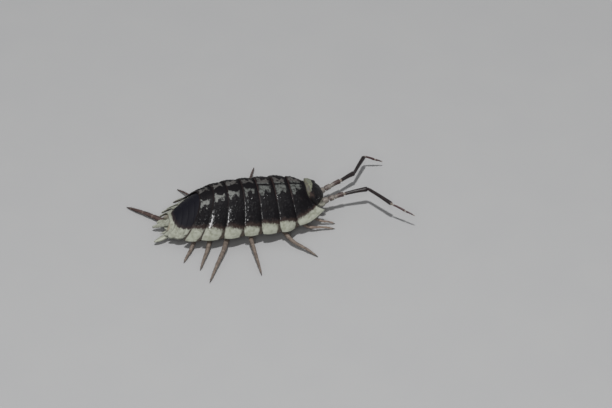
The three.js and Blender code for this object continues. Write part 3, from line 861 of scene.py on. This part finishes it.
# Mouthparts: an inner and an outer pair of lobes under the head.
MOUTH_SHIFT = 0.1
INNER_LOBE = [(11.9, 0.45, 1.25), (11.2, 0.5, 0.85), (10.3, 0.4, 1.2)]
OUTER_LOBE = [(11.9, 0.95, 1.35), (11.3, 1.0, 1.0), (10.7, 0.9, 1.3)]
mouth = Piece()
for hand in (1, -1):
    for lobe, steps, thick, sides, flat in ((INNER_LOBE, 16, 0.36, 14, 0.8), (OUTER_LOBE, 12, 0.2, 10, 1.0)):
        path = along_path([(x, hand * y + MOUTH_SHIFT, z) for x, y, z in lobe], steps)
        rod(mouth, path, thick * np.sin(np.linspace(0.35, math.pi - 0.3, steps)), sides, flat=flat)
# Pale rings on legs: place along the leg and half width.
LEG_MARKS = [(0.3, 0.02), (0.45, 0.018), (0.58, 0.016), (0.73, 0.015), (0.92, 0.012)]
leg_finish = limb_finish("leg cuticle", LEG_DARK, LEG_TONE, LEG_PALE, LEG_MARKS)
mouth.build("mouthparts_pair", [leg_finish], ["mouthparts"])

# Legs: six articles each, swollen towards the far end, with stiff bristles below.
HIP_SIDE = 2.4
HIP_HEIGHT = 1.5
LEG_STEPS = 200
LEG_BRISTLES = 64
RIGHT_SCALES = [0.6, 0.7, 0.95, 0.92, 1.0, 0.95, 0.9]
LEFT_SCALE = 0.65
TRAILING_SCALE = 1.05
TRAILING_TAPER = 0.46
LEG_JOINTS = [0.0, 0.3, 0.45, 0.58, 0.73, 0.92, 1.0]
# Each leg: hip along the body, knee and foot.
RIGHT_LEGS = [
    (9.0, (11.4, -3.45, 0.8), (13.45, -3.75)),
    (7.0, (9.3, -4.5, 0.95), (13.2, -4.85)),
    (4.2, (6.3, -7.1, 1.0), (9.4, -10.3)),
    (0.3, (0.3, -6.9, 1.2), (0.5, -12.4)),
    (-2.1, (-4.0, -6.6, 0.88), (-7.25, -12.3)),
    (-4.7, (-6.5, -6.3, 0.72), (-8.1, -9.4)),
    (-6.9, (-8.7, -5.2, 0.52), (-10.15, -7.3)),
]
LEFT_LEGS = [
    (9.2, (10.1, 3.7, 0.9), (10.9, 5.2)),
    (7.0, (8.6, 4.9, 1.05), (9.8, 6.9)),
    (4.2, (5.8, 5.4, 1.15), (7.4, 7.6)),
    (1.2, (2.5, 6.6, 1.2), (4.24, 11.3)),
    (-2.0, (-2.6, 6.0, 1.2), (-3.1, 8.7)),
    (-4.6, (-6.2, 5.6, 0.85), (-8.15, 8.9)),
]
TRAILING_LEG = [
    (-7.0, 2.45, 1.35),
    (-9.0, 2.2, 0.62),
    (-11.1, 1.9, 0.5),
    (-14.0, 4.3, 0.55),
    (-16.3, 6.55, 0.17),
]


def leg_path(hand, hip, via, foot):
    start = (hip, hand * HIP_SIDE, HIP_HEIGHT)
    knee = (blend(hip, via[0], 0.5), blend(hand * HIP_SIDE, via[1], 0.5), blend(HIP_HEIGHT, via[2], 0.3))
    shin = (blend(via[0], foot[0], 0.55), blend(via[1], foot[1], 0.55), blend(via[2], 0.2, 0.42))
    return [start, knee, via, shin, (foot[0], foot[1], 0.12)]


def bristle(piece, root, direction, length, radius=0.022):
    path = np.array([root, root + direction * length * 0.5, root + direction * length])
    path[:, 0] += np.array([0, 1e-4, 2e-4])
    rod(piece, path, [radius, radius * 0.75, radius * 0.1], 4, (0.5, 0.5))


def limb_radius(share, taper=0.62):
    return 0.39 * (1 - np.clip(share, 0, 1)) ** taper + 0.055


def leg(name, points, scale, finish, taper=0.62):
    piece = Piece()
    whole = along_path(points, LEG_STEPS)
    far_end = LEG_STEPS - 1
    for number in range(6):
        start, end = LEG_JOINTS[number], LEG_JOINTS[number + 1]
        first, last = int(start * far_end), int(end * far_end)
        part = whole[max(first - 1, 0) : last + 2]
        count = len(part)
        share = np.linspace(0, 1, count)
        near = limb_radius(start + share * (end - start), taper) * scale
        swell = 0.84 + 0.2 * np.sin(share ** 0.75 * math.pi * 0.86)
        radius = near * swell
        if number == 5:
            radius = near * (1 - share**1.6) * 0.95 + 0.025
        radius[0] *= 0.8
        radius[-1] *= 0.75
        part = part.copy()
        part[:, 2] = np.maximum(part[:, 2], radius * 0.96)
        rod(piece, part, radius, 18, (start, end), 0.92)
    rng_leg = np.random.default_rng(len(name) + int(abs(points[0][0]) * 10))
    for _ in range(LEG_BRISTLES):
        spot = rng_leg.uniform(0.32, 0.93)
        index = int(spot * far_end)
        ahead = whole[min(index + 3, far_end)] - whole[index - 3]
        ahead /= np.linalg.norm(ahead)
        outward = np.cross(ahead, UPRIGHT)
        turn = rng_leg.uniform(0, 2 * math.pi)
        sideways = outward * math.cos(turn) + np.array([0, 0, math.sin(turn)])
        radius = limb_radius(spot, taper) * scale * 0.85
        root = whole[index] + sideways * radius
        direction = sideways * 0.55 + ahead * 0.85
        direction /= np.linalg.norm(direction)
        length = rng_leg.uniform(0.14, 0.3)
        if root[2] + direction[2] * length < 0.03:
            continue
        bristle(piece, root, direction, length)
    piece.build("limb_" + name, [finish], ["leg_" + name])


red_finish = limb_finish("trailing leg cuticle", RED_LEG_DARK, RED_LEG, LEG_TONE, LEG_MARKS)
front_finish = limb_finish("front leg cuticle", FRONT_LEG_DARK, FRONT_LEG, LEG_PALE, LEG_MARKS)
for number, (hip, via, foot) in enumerate(RIGHT_LEGS):
    look = front_finish if number < 2 else leg_finish
    leg(f"right_{number + 1}", leg_path(-1, hip, via, foot), RIGHT_SCALES[number], look)
for number, (hip, via, foot) in enumerate(LEFT_LEGS):
    look = front_finish if number < 2 else red_finish
    leg(f"left_{number + 1}", leg_path(1, hip, via, foot), LEFT_SCALE, look)
leg("left_7", TRAILING_LEG, TRAILING_SCALE, red_finish, TRAILING_TAPER)

# Antennae: five articles and a lash of two, pale at the base, black beyond, with pale joints.
ANTENNAE = {
    "right": [
        (12.35, -0.95, 2.3),
        (12.8, -0.85, 2.42),
        (15.5, -0.6, 2.9),
        (19.2, -0.7, 3.3),
        (22.0, -4.7, 3.1),
        (24.8, -7.1, 2.4),
    ],
    "left": [
        (12.35, 1.45, 2.1),
        (12.75, 1.65, 2.2),
        (15.7, 2.7, 2.6),
        (18.2, 4.1, 2.5),
        (20.6, 7.6, 2.4),
        (23.4, 7.4, 0.95),
    ],
}
ARTICLE_STEPS = 26
ARTICLE_BRISTLES = 40
ARTICLE_ARCH = 0.07
# Knots at the last three joints: their radius and their place in the layout.
KNOTS = [(0.2, 0.335), (0.2, 0.52), (0.11, 0.80)]


def antenna_finish():
    finish = Finish("antenna cuticle", 0.45, Specular_IOR_Level=0.35)
    along = finish.parts(finish.layout)[1]
    cloud = finish.noise(0.4, 4.0).between(0.3, 0.65)
    streak = finish.noise(0.15, 3.0)
    base = finish.mix(FEELER_BASE_DARK, FEELER_BASE, cloud)
    brown = finish.mix(FEELER_BROWN_DARK, FEELER_BROWN, cloud)
    black = finish.mix(FEELER_BLACK, FEELER_BLACK_PALE, cloud)
    lash = finish.mix(LASH_DARK, LASH, cloud)
    colour = finish.mix(base, brown, (along.between(0.11, 0.135) * (1 - along.between(0.15, 0.17))) * 0.7)
    colour = finish.mix(colour, brown, along.between(0.225, 0.265))
    colour = finish.mix(colour, black, along.between(0.34, 0.36))
    colour = finish.mix(colour, lash, along.between(0.79, 0.81))
    for centre, half in [(0.335, 0.006), (0.80, 0.005), (0.915, 0.005), (0.998, 0.012)]:
        mark = (abs(along - centre) * -1).between(-half * 1.6, -half)
        colour = finish.mix(colour, FEELER_JOINT, mark * 0.8)
    return finish.paint(colour, streak * 0.3 + 0.24, streak, 0.02)


antenna_look = antenna_finish()
# Each article: where it starts and ends on the joint line, radius at both ends, and its share of the layout.
ARTICLES = [
    (0.0, 1.12, 0.5, 0.44, 0.0, 0.12),
    (1.15, 1.42, 0.4, 0.42, 0.12, 0.2),
    (1.45, 1.985, 0.3, 0.38, 0.2, 0.335),
    (2.03, 2.985, 0.25, 0.38, 0.335, 0.565),
    (3.01, 3.975, 0.23, 0.31, 0.565, 0.80),
    (4.03, 4.57, 0.13, 0.17, 0.80, 0.915),
    (4.59, 5.0, 0.13, 0.05, 0.915, 1.0),
]
for name, joints in ANTENNAE.items():
    joints = np.array(joints)
    piece = Piece()
    rng_antenna = np.random.default_rng(5)
    for start, end, near, far, low, high in ARTICLES:
        steps = np.linspace(start, end, ARTICLE_STEPS)
        line = np.stack([np.interp(steps, np.arange(6), joints[:, i]) for i in range(3)], -1)
        share = np.linspace(0, 1, ARTICLE_STEPS)
        line[:, 2] += ARTICLE_ARCH * np.sin(share * math.pi)
        radius = blend(near, far, share**1.5)
        radius[0] *= 0.72
        radius[-1] *= 0.6
        radius[-2] *= 0.93
        rod(piece, line, radius, 20, (low, high))
        ahead = (line[-1] - line[0]) / np.linalg.norm(line[-1] - line[0])
        outward = np.cross(ahead, UPRIGHT)
        outward /= np.linalg.norm(outward)
        above = np.cross(outward, ahead)
        for _ in range(ARTICLE_BRISTLES):
            spot = rng_antenna.integers(1, ARTICLE_STEPS - 1)
            turn = rng_antenna.uniform(0, 2 * math.pi)
            sideways = outward * math.cos(turn) + above * math.sin(turn)
            direction = sideways * 0.5 + ahead * 0.9
            direction /= np.linalg.norm(direction)
            root = line[spot] + sideways * radius[spot] * 0.95
            bristle(piece, root, direction, rng_antenna.uniform(0.06, 0.14), 0.014)
    for number, (size, mark) in enumerate(KNOTS, 2):
        joint = joints[number]
        before = (joint - joints[number - 1]) / np.linalg.norm(joint - joints[number - 1])
        after = (joints[number + 1] - joint) / np.linalg.norm(joints[number + 1] - joint)
        knot = along_path([joint - before * size * 1.1, joint, joint + after * size * 1.1], 9)
        rod(piece, knot, size * (1 - 0.25 * np.abs(np.linspace(-1, 1, 9))), 16, (mark, mark + 0.0005))
    nodes = [f"antenna_{name}_{part}" for part in ("base", "article_4", "article_5", "flagellum")]
    piece.build("feeler_" + name, [antenna_look], nodes)

# Floor, light and camera.
floor_finish = Finish("floor", 0.6, Specular_IOR_Level=0.2)
cloud = floor_finish.noise(9.0, 3.0).between(0.3, 0.7)
floor_colour = floor_finish.mix(FLOOR_SHADE, FLOOR_PALE, cloud)
floor_finish.paint(floor_colour, cloud * 0.1 + 0.55, floor_finish.noise(0.8, 2.0), 0.004)
floor_mesh = bpy.data.meshes.new("floor")
FLOOR_HALF = 1.2
corner_sides = ((-1, -1), (1, -1), (1, 1), (-1, 1))
floor_mesh.from_pydata([(x * FLOOR_HALF, y * FLOOR_HALF, 0) for x, y in corner_sides], [], [(0, 1, 2, 3)])
floor_mesh.materials.append(floor_finish.material)
floor = bpy.data.objects.new("floor", floor_mesh)
bpy.context.scene.collection.objects.link(floor)

# The camera stands where the photograph was taken from: its angles, its scale at the body, its distance in
# millimetres, and the places of the frame's middle and of the body's origin in the photograph.
ELEVATION = math.radians(42)
YAW = math.radians(12.5)
PIXELS_PER_MM = 6.65
DISTANCE = 420.0
PHOTO_WIDTH = 612
SENSOR_WIDTH = 36
FRAME_MIDDLE = (306.0, 204.0)
ORIGIN_PIXEL = (242.0, 220.7)
forward = np.array([math.sin(YAW), math.cos(YAW), 0])
right = np.array([math.cos(YAW), -math.sin(YAW), 0])
view = forward * math.cos(ELEVATION) - UPRIGHT * math.sin(ELEVATION)
up = forward * math.sin(ELEVATION) + UPRIGHT * math.cos(ELEVATION)
target = (FRAME_MIDDLE[0] - ORIGIN_PIXEL[0]) / PIXELS_PER_MM * right
target = target + (ORIGIN_PIXEL[1] - FRAME_MIDDLE[1]) / (PIXELS_PER_MM * math.sin(ELEVATION)) * forward
eye_point = target - view * DISTANCE

camera_data = bpy.data.cameras.new("camera")
camera = bpy.data.objects.new("camera", camera_data)
bpy.context.scene.collection.objects.link(camera)
camera_data.sensor_width = SENSOR_WIDTH
camera_data.lens = PIXELS_PER_MM * DISTANCE / PHOTO_WIDTH * SENSOR_WIDTH
camera_data.clip_start = 0.005
camera_data.clip_end = 10
turn = np.eye(4)
turn[:3, 0] = right
turn[:3, 1] = up
turn[:3, 2] = -view
turn[:3, 3] = (eye_point + OFFSET) * MM
camera.matrix_world = Matrix(turn.tolist())
bpy.context.scene.camera = camera


# A soft lamp aimed at the animal: degrees from the camera's side, degrees above the floor, metres and watts.
def lamp(name, azimuth_from_camera, elevation, distance, size, power, height=None):
    data = bpy.data.lights.new(name, "AREA")
    data.shape = "ELLIPSE"
    data.size = size
    data.size_y = height or size
    data.energy = power
    made = bpy.data.objects.new(name, data)
    bpy.context.scene.collection.objects.link(made)
    angle = math.radians(azimuth_from_camera)
    flat = -forward * math.cos(angle) + right * math.sin(angle)
    towards = flat * math.cos(math.radians(elevation)) + UPRIGHT * math.sin(math.radians(elevation))
    made.location = Vector(OFFSET * MM + towards * distance)
    made.rotation_euler = Vector(-towards).to_track_quat("-Z", "Y").to_euler()


lamp("key", 0, 77, 0.6, 0.045, 2.65)
lamp("glint", -4, 41, 0.6, 0.1, 0.75, 0.42)
lamp("fill_left", -100, 45, 0.8, 0.6, 0.3)
lamp("fill_right", 110, 40, 0.8, 0.6, 0.3)

world = bpy.data.worlds.new("world")
bpy.context.scene.world = world
world.use_nodes = True
world.node_tree.nodes["Background"].inputs[0].default_value = SKY
world.node_tree.nodes["Background"].inputs[1].default_value = 0.16
bpy.context.scene.view_settings.view_transform = "Standard"
